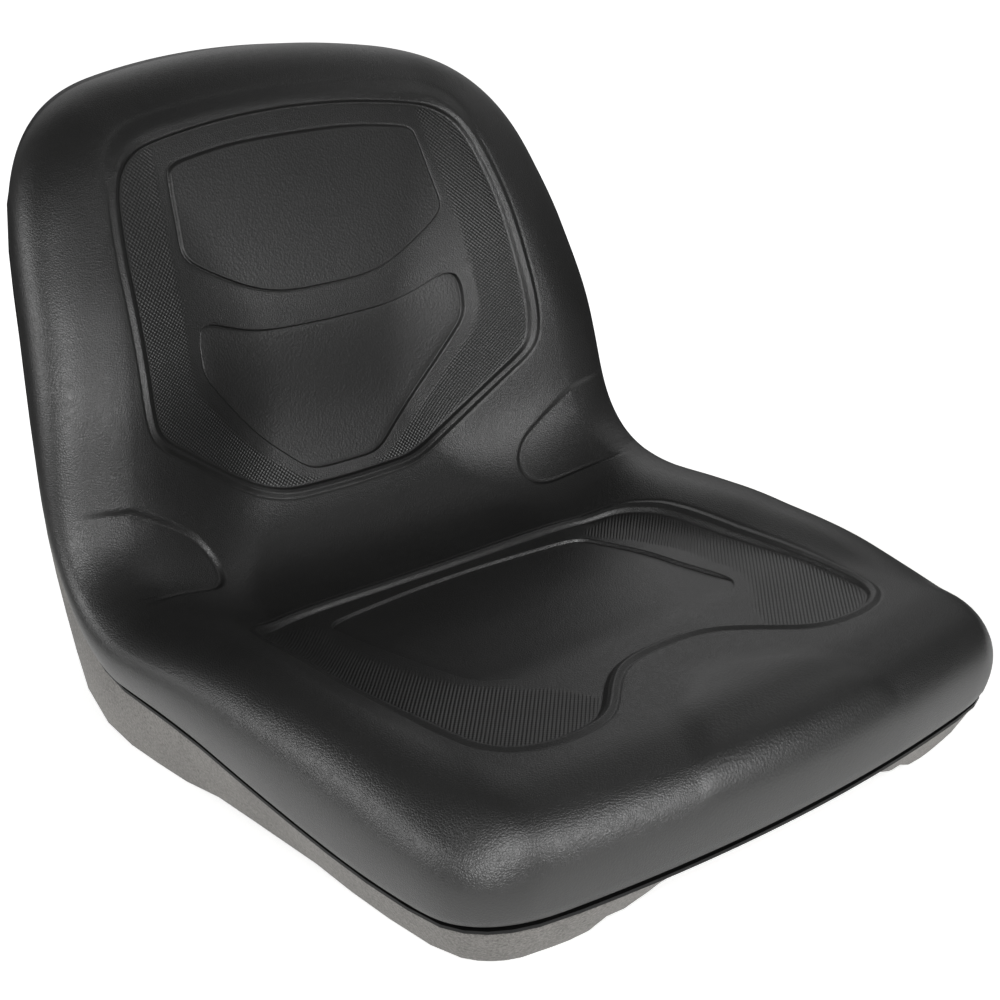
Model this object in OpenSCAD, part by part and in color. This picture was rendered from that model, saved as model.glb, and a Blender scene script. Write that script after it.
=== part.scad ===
// High-back tractor seat: one moulded foam cushion on a bent steel carrier and a ribbed pan.
// Millimetres. Z is up, the sitter faces -Y. The origin is the centre of the fastening pattern,
// on the plane the seat is bolted down to, and X = 0 is the plane of symmetry.
// Sheet coordinates: a runs across the seat, b runs from the front edge back and up to the top.

/* [Cushion] */
// half of the width at the sides of the seat
rim_half_width = 243; // [200:1:280]
// half of the width at the top of the back
top_half_width = 205; // [170:1:240]
// how far the front edge reaches ahead of the fastening pattern
front_reach = 247.5; // [200:0.5:290]
// length of the sheet from the front edge to the top edge
run_length = 827; // [700:1:900]
// scale of the foam thickness
foam_scale = 1; // [0.8:0.01:1.15]
// lean of the whole back, added to its slope
back_lean = 0; // [-8:0.5:4]
// corner size at the front
front_corner = 60; // [40:1:90]
// corner size at the top
top_corner = 89; // [60:0.5:120]
// squareness of the front corners, 2 is round
front_square = 3.2; // [2:0.1:5]
// squareness of the top corners, 2 is round
top_square = 2.6; // [2:0.1:4]
// forward bow of the front edge
front_crown = 24.2; // [5:0.2:40]
// upward bow of the top edge
top_crown = 40.4; // [10:0.2:50]

/* [Panels] */
// depth of the seat and back panels below the bolsters
panel_depth = 3.5; // [1:0.1:6]
// height of the raised bead round each panel
bead_height = 1.2; // [0.4:0.1:2.5]
// depth of the shields below the panel floor
shield_depth = 2.4; // [1:0.1:4]
// height of the bare upper badge over the panel floor
badge_height = 1.8; // [0.5:0.1:3]
// depth of the hip pockets
pocket_depth = 2.5; // [0.5:0.1:5]
// height of the pommel at the front centre
pommel_height = 2; // [0:0.1:5]

/* [Carrier] */
// thickness of the bent sheet
carrier_thick = 2; // [1.5:0.1:4]
// step of the carrier edge inside the cushion edge
carrier_inset = 0.8; // [0.2:0.1:3]
// height of the front edge above the base plane
rim_height = 37.5; // [30:0.5:60]

/* [Pan] */
// plate thickness
plate_thick = 3.2; // [2.4:0.1:5]
// step of the pan edge inside the cushion edge
pan_inset = 3; // [1:0.1:6]
// wall thickness at the foot
foot_wall = 4; // [3:0.1:8]
// lift of the pan edge between the front feet
front_gap = 20; // [0:0.5:24]
// lift of the pan edge between the front and rear feet
side_gap = 4; // [0:0.5:10]
// rib thickness
rib_thick = 3.2; // [2:0.1:5]
// radius of the round opening for a presence switch
switch_r = 20; // [12:0.5:22]

/* [Mounting] */
// insert spacing side to side
spacing_x = 285.75; // [200:0.05:320]
// insert spacing front to back
spacing_y = 203.2; // [150:0.05:260]
// radius of the insert bore
insert_bore_r = 3.97; // [3:0.01:6]
// outer radius of the insert
insert_r = 7; // [5.5:0.1:10]
// length of the insert
insert_long = 20; // [12:0.5:26]
// boss radius
boss_r = 12; // [10:0.5:16]

/* [Hidden] */
$fn = 48;
grow = run_length / 827;
flank = rim_half_width / 243;
crease = 425 * grow;
panel_reach = 9;

// Knots [b, value] of the smooth curves that shape the seat.
turn = [[0, -7], [60, -1.8], [150, 4.5], [280, 8], [375, 3], [415, 30.1], [450, 52.2 - back_lean],
    [480, 57.4 - back_lean], [530, 75.2 - back_lean], [620, 71.5 - back_lean], [730, 61.7 - back_lean],
    [825, 36.1 - back_lean]];
lift = [[0, 90], [230, 90], [310, 100.2], [400, 111.4], [475, 138], [565, 166.8], [660, 184.5], [825, 169]];
half_width = [[0, 227.7 * flank], [60, 239.5 * flank], [150, 242.8 * flank], [280, 243.7 * flank],
    [380, 246.6 * flank], [450, 243.9 * flank], [530, 242.1 * flank], [660, top_half_width + 23.4],
    [755, top_half_width + 4.5], [825, top_half_width - 9.8]];
roll = [[0, 59.9], [280, 26.9], [425, 33.6], [565, 45.3], [825, 46.9]];
bulge = [[0, 12.1], [425, 18.2], [565, 16.7], [825, 8.8]];
foam = [[0, 72.2], [60, 73.6], [140, 71], [235, 54.3], [310, 37.8], [395, 20.3], [475, 9.3], [530, 14.6],
    [660, 41.9], [755, 52.2], [825, 66.2]];
bolster = [[0, -28.2], [60, -8], [140, 6], [280, 21], [380, 27.4], [455, 32.1], [530, 34],
    [660, 19.9], [755, 7], [825, 20]];
bolster_start = [[0, 0.85], [380, 0.54], [565, 0.2], [825, 0.73]];
bolster_end = 0.88;
hang = [[0, 90], [230, 90], [310, 102], [400, 118], [475, 142], [560, 160], [640, 155], [730, 153], [825, 141]];
pan_depth = [[0, 200], [400, 74], [420, 68], [440, 57], [480, 40], [520, 27], [560, 18], [600, 13], [640, 11],
    [825, 11]];
pan_step = [[0, 24], [24, 24], [90, 17], [380, 17], [480, 14], [560, 9], [640, 6.5], [825, 6.5]];
pan_field = [[0, 8], [480, 9], [640, 10.5], [825, 10.5]];

// Smooth curve through knots, without overshoot.
function rise(k, i) = (k[i + 1][1] - k[i][1]) / (k[i + 1][0] - k[i][0]);
function tangent(k, i) =
    i == 0 ? rise(k, 0) : i == len(k) - 1 ? rise(k, i - 1) :
    let (d = rise(k, i - 1), e = rise(k, i)) d * e <= 0 ? 0 : 2 * d * e / (d + e);
function span(k, x, i = 0) = i >= len(k) - 2 || x < k[i + 1][0] ? i : span(k, x, i + 1);
function curve(k, b) =
    let (x = max(k[0][0], min(k[len(k) - 1][0], b / grow)), i = span(k, x), h = k[i + 1][0] - k[i][0],
        t = (x - k[i][0]) / h)
    (2 * t * t * t - 3 * t * t + 1) * k[i][1] + (t * t * t - 2 * t * t + t) * h * tangent(k, i)
    + (3 * t * t - 2 * t * t * t) * k[i + 1][1] + (t * t * t - t * t) * h * tangent(k, i + 1);
function ease(t) = let (u = max(0, min(1, t))) u * u * (3 - 2 * u);

// Side view of the carrier: slope, and the point reached after running b along it.
pace = 4;
function slope(b) = lookup(b / grow, turn);
run_y = [for (b = 0, y = -front_reach; b <= run_length + 120; y = y + pace * cos(slope(b + pace / 2)), b = b + pace)
    [b, y]];
run_z = [for (b = 0, z = rim_height; b <= run_length + 120; z = z + pace * sin(slope(b + pace / 2)), b = b + pace)
    [b, z]];
function base(b) = [lookup(max(b, 0), run_y) + min(b, 0) * cos(slope(0)),
    lookup(max(b, 0), run_z) + min(b, 0) * sin(slope(0))];

// The same line softened, for the inside of the foam: its mean over a reach to both sides.
soft_reach = 48;
soft_steps = round(soft_reach / pace);
soft_share = [for (k = [-soft_steps:soft_steps]) 1 / (2 * soft_steps + 1)];
soft_line = [for (b = [-60:pace:run_length + 60])
    [b, soft_share * [for (k = [-soft_steps:soft_steps]) base(b + pace * k)]]];
soft_y = [for (s = soft_line) [s[0], s[1][0]]];
soft_z = [for (s = soft_line) [s[0], s[1][1]]];
function soft(b) = [lookup(b, soft_y), lookup(b, soft_z)];

// Distance of a sheet point from the edge, with the way out to the edge.
function edge(a, b) =
    let (w = curve(half_width, b), u = abs(a) / w, front = b < run_length / 2,
        r = front ? front_corner : top_corner, p = front ? front_square : top_square, da = w - abs(a),
        db = front ? b - front_crown * u * u : run_length - b - top_crown * u * u,
        qa = max(1 - da / r, 0), qb = max(1 - db / r, 0), m = pow(pow(qa, p) + pow(qb, p), 1 / p))
    m <= 0 ? [min(da, db), 0, 0, u] :
    let (na = pow(qa / m, p - 1), nb = pow(qb / m, p - 1), n = norm([na, nb]))
    [r * (1 - m), na / n * sign(a), nb / n * (front ? -1 : 1), u];

// Foam face over a sheet point; rise is added to the thickness.
function face(a, b, rise = 0) =
    let (e = edge(a, b), w = curve(roll, b), s = max(0, min(1, e[0] / w)), phi = 90 * s,
        inset = w * (1 - cos(phi)) - curve(bulge, b) * sin(2 * phi), shift = s < 1 ? e[0] - inset : 0,
        k = curve(bolster_start, b), t = (e[3] - k) / (bolster_end - k),
        g = pow(sin(phi), 0.92),
        h = (curve(foam, b) * foam_scale + curve(bolster, b) * ease(t) + rise + pommel(a, b) - pocket(a, b)) * g,
        pb = b + e[2] * shift, la = curve(lift, pb), at = base(pb) * (1 - g) + soft(pb) * g)
    [a + e[1] * shift, at[0] + h * cos(la), at[1] + h * sin(la)];
function pommel(a, b) = pommel_height * ease((120 - abs(a)) / 30) * ease((b - 8) / 14) * ease((62 - b) / 14);
function pocket(a, b) = let (out = 204 - abs(a)) pocket_depth * ease((abs(a) - 143) / 8)
    * ease((b - 398 - 0.28 * out) / 8) * ease((502 - 0.62 * out - b) / 8);

// Point of the carrier sheet, dropped square to it, or hung towards the base.
function sheet(a, b, drop = 0) =
    let (at = base(b), s = slope(b)) [a, at[0] + drop * sin(s), at[1] - drop * cos(s)];
function hung(a, b, drop) =
    let (at = base(b), s = curve(hang, b)) [a, at[0] - drop * cos(s), at[1] - drop * sin(s)];

// Stations of the right half of the outline, front centre to top centre, at an inset d. Those along
// the front stand over the corners of the seat panel.
front_steps = 13;
side_steps = 11;
back_steps = 11;
top_steps = 6;
corner_steps = 6;
turn_in = front_steps + corner_steps;
bend = turn_in + side_steps;
turn_top = bend + back_steps;
stations = turn_top + corner_steps + top_steps;
function bow(t) = 0.7 * t + 0.3 * sin(90 * t);
function corner_mark(q, r, p, d) = [r - (r - d) * pow(sin(q), 2 / p), r - (r - d) * pow(cos(q), 2 / p)];
// Sheet point at a from the centre line, or da in from the side, and db in from the bowed edge.
function bowed(db, u, front) = front ? db + front_crown * u * u : run_length - db - top_crown * u * u;
function placed(a, da, db, front, tries = 5, guess = -1) =
    let (b = guess < 0 ? bowed(db, 0.9, front) : guess, w = curve(half_width, b), x = is_undef(a) ? w - da : a)
    tries == 0 ? [x, b] : placed(a, da, db, front, tries - 1, bowed(db, x / w, front));
function placed_corner(c, front) = placed(undef, c[0], c[1], front);
function straight_front(t, d) = placed((curve(half_width, 18) - front_corner) * t, undef, d, true);
function straight_top(t, d) = placed((curve(half_width, 815) - top_corner) * t, undef, d, false);
function beside(b, d) = [curve(half_width, b) - d, b];
function outline(i, d) =
    let (b0 = front_corner + front_crown, b1 = run_length - top_corner - top_crown)
    i <= front_steps ? straight_front(seat_panel[i][0] / seat_panel[front_steps][0], d) :
    i < turn_in ? placed_corner(corner_mark(90 * (i - front_steps) / corner_steps, front_corner, front_square, d), true) :
    i <= bend ? beside(b0 + (crease - b0) * bow((i - turn_in) / side_steps), d) :
    i <= turn_top ? beside(b1 - (b1 - crease) * bow((turn_top - i) / back_steps), d) :
    i < stations - top_steps ?
        placed_corner(corner_mark(90 * (1 - (i - turn_top) / corner_steps), top_corner, top_square, d), false) :
    straight_top(bow((stations - i) / top_steps), d);

// A ring is a half loop of points on the right and its mirror image. Its right and left index lists
// share the points on the centre line.
function mirrored(p) = [-p[0], p[1], p[2]];
function ring(half) = concat(half, [for (i = [1:len(half) - 2]) mirrored(half[i])]);
function right(start, n) = [for (i = [0:n]) start + i];
function left(start, n) = [for (i = [0:n]) i == 0 || i == n ? start + i : start + n + i];
function pair(start, n) = [right(start, n), left(start, n)];
function part(list, from, to) = [for (i = [from:to]) list[i]];
function backward(list) = [for (i = [len(list) - 1:-1:0]) list[i]];
function joined(lists) = [for (l = lists) each l];

// Faces between an outer and an inner ring, and the strips that close a ring.
function strip(o, n) = [for (i = [0:len(o) - 2]) each
    o[i] == n[i] ? [[n[i], n[i + 1], o[i + 1]]] : [[o[i], n[i], n[i + 1]], [o[i], n[i + 1], o[i + 1]]]];
function flipped(faces) = [for (f = faces) backward(f)];
function band(o, n) = concat(strip(o[0], n[0]), flipped(strip(o[1], n[1])));
function strips(r) = let (n = len(r[0]) - 1) [for (i = [0:n - 1])
    i == 0 ? [r[0][0], r[1][1], r[0][1]] : i == n - 1 ? [r[0][i], r[1][i], r[0][n]] :
    [r[0][i], r[1][i], r[1][i + 1], r[0][i + 1]]];
function bands(rings) = [for (i = [0:len(rings) - 2]) each band(rings[i], rings[i + 1])];

// Panel outlines in sheet coordinates, as legs from the lower centre, round the side, to the upper
// centre. Each leg is smoothed by cutting its corners and then spaced out again.
function cut(p, times) = times == 0 ? p : cut(concat([p[0]], [for (i = [1:len(p) - 2]) each
    [p[i] + (p[i - 1] - p[i]) / 4, p[i] + (p[i + 1] - p[i]) / 4]], [p[len(p) - 1]]), times - 1);
function travel(p) = [for (i = 0, s = 0; i < len(p); s = s + norm(p[min(i + 1, len(p) - 1)] - p[i]), i = i + 1) s];
function spaced(p, n, squeeze) =
    let (q = cut(p, 2), s = travel(q), last = len(q) - 1, xs = [for (i = [0:last]) [s[i], q[i][0]]],
        ys = [for (i = [0:last]) [s[i], q[i][1]]])
    [for (i = [0:n]) let (u = i / n, t = squeeze == 0 ? 0.6 * u + 0.4 * sin(90 * u) :
        squeeze == 1 ? 0.6 * u + 0.2 * (1 - cos(180 * u)) : 1 - 0.6 * (1 - u) - 0.4 * sin(90 * (1 - u)))
        [lookup(t * s[last], xs), lookup(t * s[last], ys)]];
function legs(l, n) = concat(spaced(l[0], n[0], 0), part(spaced(l[1], n[1], 1), 1, n[1]),
    part(spaced(l[2], n[2], 2), 1, n[2]));
// The outline moved outwards by d.
function moved(p, d) = [for (i = [0:len(p) - 1]) let (n = len(p) - 1,
    t = i == 0 || i == n ? [i == 0 ? 1 : -1, 0] : p[i + 1] - p[i - 1]) p[i] + d * [t[1], -t[0]] / norm(t)];

front_leg = front_steps + corner_steps / 2;
flank_leg = corner_steps / 2 + side_steps;
crease_leg = 8;
side_leg = back_steps + corner_steps / 2;
top_leg = corner_steps / 2 + top_steps;

seat_panel = grow * legs([
    [[0, 128.5], [20, 128], [35, 125], [48, 119.5], [59, 111.5], [68, 104], [78, 94.5], [90, 84], [102, 78],
        [120, 75], [138, 76], [152, 80], [162, 87]],
    [[162, 87], [169, 95.5], [173.5, 112], [177, 150], [179, 190], [178.5, 240], [178, 300], [175.5, 318],
        [169, 336]],
    [[169, 336], [162, 346.5], [146, 354], [122, 358.5], [83, 359], [40, 358], [0, 358]]],
    [front_leg, flank_leg, crease_leg]);
seat_shield = grow * legs([
    [[0, 143], [28, 142], [42, 138], [56, 131], [68, 130], [85, 141], [104, 157], [112, 164]],
    [[112, 164], [118, 172], [120, 195], [121, 230], [122.5, 266], [120, 308], [117.5, 325]],
    [[117.5, 325], [113, 332], [100, 336], [66, 340], [27, 343.5], [0, 343.5]]],
    [front_leg, flank_leg, crease_leg]);
back_panel = grow * legs([
    [[0, 485.5], [48, 486.5], [61, 488.5], [80, 496], [115, 515], [152, 541.5], [161, 549.5]],
    [[161, 549.5], [167.5, 558], [170.5, 573], [170.5, 600], [168, 645], [165.5, 684], [161.5, 710],
        [155.5, 735], [149, 747]],
    [[149, 747], [141, 756.5], [123, 766], [71, 774], [36, 777], [0, 778]]], [crease_leg, side_leg, top_leg]);
cell_at = crease_leg + 7;
divide_steps = 5;
divide_at = 630;
badge = grow * legs([
    [[0, 646], [26, 646], [48, 649], [70, 657.5], [85, 666], [104, 677.5], [111, 683.5]],
    [[111, 683.5], [115.5, 690.5], [113.5, 703], [111.5, 722], [109.5, 738], [108, 745]],
    [[108, 745], [103.5, 749.5], [80, 753.5], [53, 757], [20, 758], [0, 758]]],
    [divide_steps, crease_leg + side_leg - cell_at, top_leg]);
back_shield = grow * legs([
    [[0, 497.5], [27, 497.5], [36, 502], [47, 512], [65, 528], [84, 547.5], [101, 568], [113.5, 586]],
    [[113.5, 586], [118, 595], [119, 608], [118.5, 624], [115, 632]],
    [[115, 632], [109, 635.5], [99, 632], [82, 624], [64, 618], [45, 615.5], [0, 614.5]]],
    [crease_leg, cell_at - crease_leg, divide_steps]);

function lie(flat, rise) = [for (p = flat) face(p[0], p[1], rise)];
function between(p, q, t) = [for (i = [0:len(p) - 1]) p[i] + (q[i] - p[i]) * t];
function middle(p) = [0, (p[0][1] + p[len(p) - 1][1]) / 2];
function shrunk(p, f) = [for (q = p) middle(p) + (q - middle(p)) * f];
// The seat shield fades out towards the front.
function fading(flat, depth) = [for (p = flat) face(p[0], p[1], -panel_depth - depth * ease((p[1] - 150) / 90))];

roll_marks = [0, 0.08, 0.18, 0.3, 0.42, 0.55];
inner_mark = roll_marks[len(roll_marks) - 1];
function rim_flat(mark) = [for (i = [0:stations]) outline(i, mark * curve(roll, outline(i, 0)[1]))];
inner_flat = rim_flat(inner_mark);
crease_flat = [for (j = [1:crease_leg]) [inner_flat[bend][0] * (1 - j / crease_leg), crease]];
seat_bound = concat(part(inner_flat, 0, bend), crease_flat);
back_bound = concat(backward(crease_flat), part(inner_flat, bend, stations));

// Rings of one panel: bolster, bead, wall and floor line.
function panel_rings(bound, panel) = [
    for (t = [0.27, 0.54, 0.8]) lie(between(bound, moved(panel, panel_reach), t), 0),
    lie(moved(panel, panel_reach), 0), lie(moved(panel, 6), bead_height), lie(moved(panel, 3), bead_height * 0.8),
    lie(moved(panel, -1), -panel_depth * 0.85), lie(moved(panel, -4), -panel_depth)];
seat_rings = concat(panel_rings(seat_bound, seat_panel), [
    lie(between(moved(seat_panel, -4), moved(seat_shield, 2), 0.5), -panel_depth),
    fading(moved(seat_shield, 2), 0), fading(moved(seat_shield, -2), shield_depth),
    fading(shrunk(moved(seat_shield, -2), 0.7), shield_depth),
    fading(shrunk(moved(seat_shield, -2), 0.36), shield_depth)]);
back_rings = panel_rings(back_bound, back_panel);

floor_flat = moved(back_panel, -4);
divide_flat = [for (j = [1:divide_steps]) let (t = j / divide_steps)
    [floor_flat[cell_at][0] * (1 - t), floor_flat[cell_at][1] * (1 - ease(t)) + divide_at * grow * ease(t)]];
shield_bound = concat(part(floor_flat, 0, cell_at), divide_flat);
badge_bound = concat(backward(divide_flat), part(floor_flat, cell_at, len(floor_flat) - 1));
shield_rings = [lie(between(shield_bound, moved(back_shield, 2), 0.5), -panel_depth),
    lie(moved(back_shield, 2), -panel_depth), lie(moved(back_shield, -2), -panel_depth - shield_depth),
    lie(shrunk(moved(back_shield, -2), 0.62), -panel_depth - shield_depth),
    lie(shrunk(moved(back_shield, -2), 0.28), -panel_depth - shield_depth)];
badge_rings = [lie(between(badge_bound, moved(badge, 2), 0.5), -panel_depth),
    lie(moved(badge, 2), -panel_depth), lie(moved(badge, -2), badge_height - panel_depth),
    lie(shrunk(moved(badge, -2), 0.62), badge_height - panel_depth),
    lie(shrunk(moved(badge, -2), 0.28), badge_height - panel_depth)];

// Chain of points that runs from the side to the centre line, right then left.
function chain(flat, rise) = let (p = lie(flat, rise)) concat(p, [for (i = [0:len(p) - 2]) mirrored(p[i])]);
function chain_pair(start, n) = [[for (i = [0:n - 1]) start + i],
    [for (i = [0:n - 1]) i == n - 1 ? start + i : start + n + i]];

rim_rings = [for (m = roll_marks) lie(rim_flat(m), 0)];
ring_size = 2 * stations;
crease_start = ring_size * len(rim_rings);
seat_start = crease_start + 2 * crease_leg - 1;
seat_size = 2 * (len(seat_bound) - 1);
back_start = seat_start + seat_size * len(seat_rings);
back_size = 2 * (len(back_bound) - 1);
divide_start = back_start + back_size * len(back_rings);
shield_start = divide_start + 2 * divide_steps - 1;
shield_size = 2 * (len(shield_bound) - 1);
badge_start = shield_start + shield_size * len(shield_rings);
badge_size = 2 * (len(badge_bound) - 1);
function pairs(start, size, n) = [for (j = [0:n - 1]) pair(start + j * size, size / 2)];
rim_pairs = pairs(0, ring_size, len(rim_rings));
crease_pair = chain_pair(crease_start, crease_leg);
inner_pair = rim_pairs[len(rim_rings) - 1];
seat_pairs = concat([[for (k = [0, 1]) concat(part(inner_pair[k], 0, bend), crease_pair[k])]],
    pairs(seat_start, seat_size, len(seat_rings)));
back_pairs = concat([[for (k = [0, 1]) concat(backward(crease_pair[k]), part(inner_pair[k], bend, stations))]],
    pairs(back_start, back_size, len(back_rings)));
divide_pair = chain_pair(divide_start, divide_steps);
floor_pair = back_pairs[len(back_pairs) - 1];
shield_pairs = concat([[for (k = [0, 1]) concat(part(floor_pair[k], 0, cell_at), divide_pair[k])]],
    pairs(shield_start, shield_size, len(shield_rings)));
badge_pairs = concat(
    [[for (k = [0, 1]) concat(backward(divide_pair[k]), part(floor_pair[k], cell_at, back_size / 2))]],
    pairs(badge_start, badge_size, len(badge_rings)));

function fan(chain, hub) = [for (i = [0:len(chain) - 2]) [chain[i], hub, chain[i + 1]]];
function closed(rings) = concat(bands(rings), strips(rings[len(rings) - 1]));
function centred(rings, hub) = let (r = rings[len(rings) - 1])
    concat(bands(rings), fan(r[0], hub), flipped(fan(r[1], hub)));
hub_start = badge_start + badge_size * len(badge_rings);
hubs = [fading([middle(seat_shield)], shield_depth)[0], lie([middle(back_shield)], -panel_depth - shield_depth)[0],
    lie([middle(badge)], badge_height - panel_depth)[0]];

module cushion() {
    points = concat(joined([for (r = rim_rings) ring(r)]), chain(crease_flat, 0),
        joined([for (r = seat_rings) ring(r)]), joined([for (r = back_rings) ring(r)]),
        chain(divide_flat, -panel_depth), joined([for (r = shield_rings) ring(r)]),
        joined([for (r = badge_rings) ring(r)]), hubs);
    faces = concat(flipped(strips(rim_pairs[0])), bands(rim_pairs), centred(seat_pairs, hub_start),
        bands(back_pairs), centred(shield_pairs, hub_start + 1), centred(badge_pairs, hub_start + 2));
    color("#2b2b29") polyhedron(points, faces, convexity = 8);
}

// Shell of stacked rings, closed at both ends.
module stack(rings) {
    size = 2 * (len(rings[0]) - 1);
    p = pairs(0, size, len(rings));
    polyhedron(joined([for (r = rings) ring(r)]), concat(flipped(strips(p[0])), closed(p)), convexity = 10);
}

function sheet_ring(inset, drop) = [for (i = [0:stations]) let (p = outline(i, inset)) sheet(p[0], p[1], drop)];
function screw_marks() = [for (s = [-1, 1]) each [[110 * s, 50], [205 * s, 250], [110 * s, 560], [95 * s, 750]]];

module at_sheet(mark) {
    p = sheet(mark[0], mark[1], 0);
    translate(p)
        rotate([slope(mark[1]), 0, 0])
            children();
}

screw_r = 3;
switch_y = -20;
module carrier() {
    color("#1d1d1c") difference() {
        stack([sheet_ring(carrier_inset, carrier_thick), sheet_ring(carrier_inset, 0)]);
        for (m = screw_marks())
            at_sheet(m) translate([0, 0, -carrier_thick - 1]) cylinder(h = carrier_thick + 2, r = screw_r + 0.05);
        translate([0, switch_y, 0]) cylinder(h = 60, r = switch_r);
    }
}

// Height of the pan edge above the base plane along the seat.
function sole(a, b) = side_gap * ease((b - 152) / 12) * ease((322 - b) / 14)
    + front_gap * ease((60 - b) / 20) * (0.32 * ease((152 - abs(a)) / 12) + 0.68 * ease((128 - abs(a)) / 42));
function softer_min(p, q, reach) = min(p, q) - pow(max(reach - abs(p - q), 0), 2) / reach / 4;
function pan_drop(a, b) = softer_min((base(b)[1] - sole(a, b)) / sin(curve(hang, b)), curve(pan_depth, b), 24);
function wall_ring(part_in, share) = [for (i = [0:stations]) let (
    rim = outline(i, 0), s = curve(pan_step, rim[1]), p = outline(i, pan_inset + (s - pan_inset) * part_in))
    hung(p[0], p[1], share * pan_drop(p[0], p[1]))];
function foot_ring(more) = [for (i = [0:stations]) let (
    rim = outline(i, 0), p = outline(i, curve(pan_step, rim[1]) + more)) hung(p[0], p[1], pan_drop(p[0], p[1]))];
function field_ring(drop) = [for (i = [0:stations]) let (
    rim = outline(i, 0), p = outline(i, curve(pan_field, rim[1]))) sheet(p[0], p[1], drop)];

rib_at = [25, 84, 142.875, 195];
plate_mid = carrier_thick + plate_thick * 0.5;
module long_rib(x) {
    marks = [for (b = [40:50:390]) b, for (b = [405:13:500]) b, for (b = [540:60:760]) b];
    upper = [for (b = marks) let (p = sheet(0, b, plate_mid)) [p[1], p[2]]];
    lower = [for (b = backward(marks)) let (p = hung(0, b, max(pan_drop(x, b) - 8, 9.6))) [p[1], p[2]]];
    translate([x - rib_thick / 2, 0, 0])
        rotate([90, 0, 90])
            linear_extrude(rib_thick) polygon(concat(upper, lower));
}

function run_at(y) = y + front_reach + 1;
module cross_rib(y) {
    top = base(run_at(y))[1] - plate_mid;
    translate([-200, y - rib_thick / 2, 12]) cube([400, rib_thick, top - 12]);
}

module at_inserts() {
    for (x = [-1, 1], y = [-1, 1])
        translate([x * spacing_x / 2, y * spacing_y / 2, 0]) children();
}

module pan() {
    shell = [field_ring(carrier_thick + plate_thick), foot_ring(foot_wall), foot_ring(0), wall_ring(0.88, 0.93),
        wall_ring(0.62, 0.72), wall_ring(0.3, 0.4), wall_ring(0.06, 0.16), sheet_ring(pan_inset, carrier_thick)];
    color("#8d8680") difference() {
        union() {
            stack(shell);
            for (x = rib_at, s = [-1, 1]) long_rib(x * s);
            for (y = [-spacing_y / 2, spacing_y / 2]) cross_rib(y);
            for (x = [-1, 1], y = [-1, 1])
                translate([x * spacing_x / 2, y * spacing_y / 2, 0])
                    cylinder(h = base(run_at(y * spacing_y / 2))[1] - plate_mid - 0.2, r = boss_r);
            translate([0, switch_y, 16]) cylinder(h = base(run_at(switch_y))[1] - plate_mid - 16, r = switch_r + 3);
        }
        at_inserts() translate([0, 0, -1]) cylinder(h = insert_long + 1.5, r = insert_r);
        translate([0, switch_y, -1]) cylinder(h = 60, r = switch_r);
        for (m = screw_marks())
            at_sheet(m) translate([0, 0, -plate_thick - carrier_thick - 1])
                cylinder(h = plate_thick + 2, r = screw_r + 0.4);
    }
}

module threaded_inserts() {
    color("#b8924a") at_inserts()
        rotate_extrude() polygon([[insert_bore_r, 0], [insert_r, 0], [insert_r, 5], [insert_r - 0.8, 5.8],
            [insert_r - 0.8, 8.2], [insert_r, 9], [insert_r, 12], [insert_r - 0.8, 12.8], [insert_r - 0.8, 15.2],
            [insert_r, 16], [insert_r, insert_long - 0.6], [insert_r - 0.6, insert_long], [insert_bore_r, insert_long]]);
}

module pan_screws() {
    head = -plate_thick - carrier_thick;
    color("#9fa3a6") for (m = screw_marks())
        at_sheet(m) {
            translate([0, 0, head - 0.4]) cylinder(h = -head, r = screw_r);
            translate([0, 0, head - 1.9]) cylinder(h = 1.9, r = 8);
            translate([0, 0, head - 5.4]) cylinder(h = 4, r = 5.5, $fn = 6);
        }
}

cushion();
carrier();
pan();
threaded_inserts();
pan_screws();
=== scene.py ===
"""High-back tractor seat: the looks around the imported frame.

The cushion's skin is built here in one mesh over sheet coordinates, in millimetres: a runs across the
seat and b from the front edge back and up to the top. Everything else is in metres, Z up, and the
sitter faces -Y.
"""

import math

import bmesh
import bpy
import numpy as np
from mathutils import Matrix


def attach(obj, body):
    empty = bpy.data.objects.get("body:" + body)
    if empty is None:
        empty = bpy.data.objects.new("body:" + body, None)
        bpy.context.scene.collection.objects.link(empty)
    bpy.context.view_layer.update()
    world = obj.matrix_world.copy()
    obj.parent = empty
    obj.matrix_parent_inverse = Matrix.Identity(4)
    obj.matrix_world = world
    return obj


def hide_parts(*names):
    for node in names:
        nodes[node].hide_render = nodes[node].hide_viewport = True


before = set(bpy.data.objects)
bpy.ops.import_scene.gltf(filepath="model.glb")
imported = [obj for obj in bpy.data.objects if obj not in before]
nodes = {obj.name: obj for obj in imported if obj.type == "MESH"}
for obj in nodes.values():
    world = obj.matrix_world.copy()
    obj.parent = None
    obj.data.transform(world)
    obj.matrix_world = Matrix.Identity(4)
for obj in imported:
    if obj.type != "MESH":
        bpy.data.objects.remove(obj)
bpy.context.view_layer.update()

# Seat surface, with the same driving values as the source.
RUN = 827.0
CREASE = 425.0
FRONT_REACH = 247.5
RIM_HEIGHT = 37.5
CROWN = (24.2, 40.4)
CORNER = (60.0, 89.0)
SQUARE = (3.2, 2.6)
PANEL_DEPTH = 3.5
BEAD = 1.2
SHIELD_DEPTH = 2.4
BADGE = 1.8
POCKET = 2.2
POCKET_GROOVE = 0.9
POMMEL = 2.4
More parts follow.
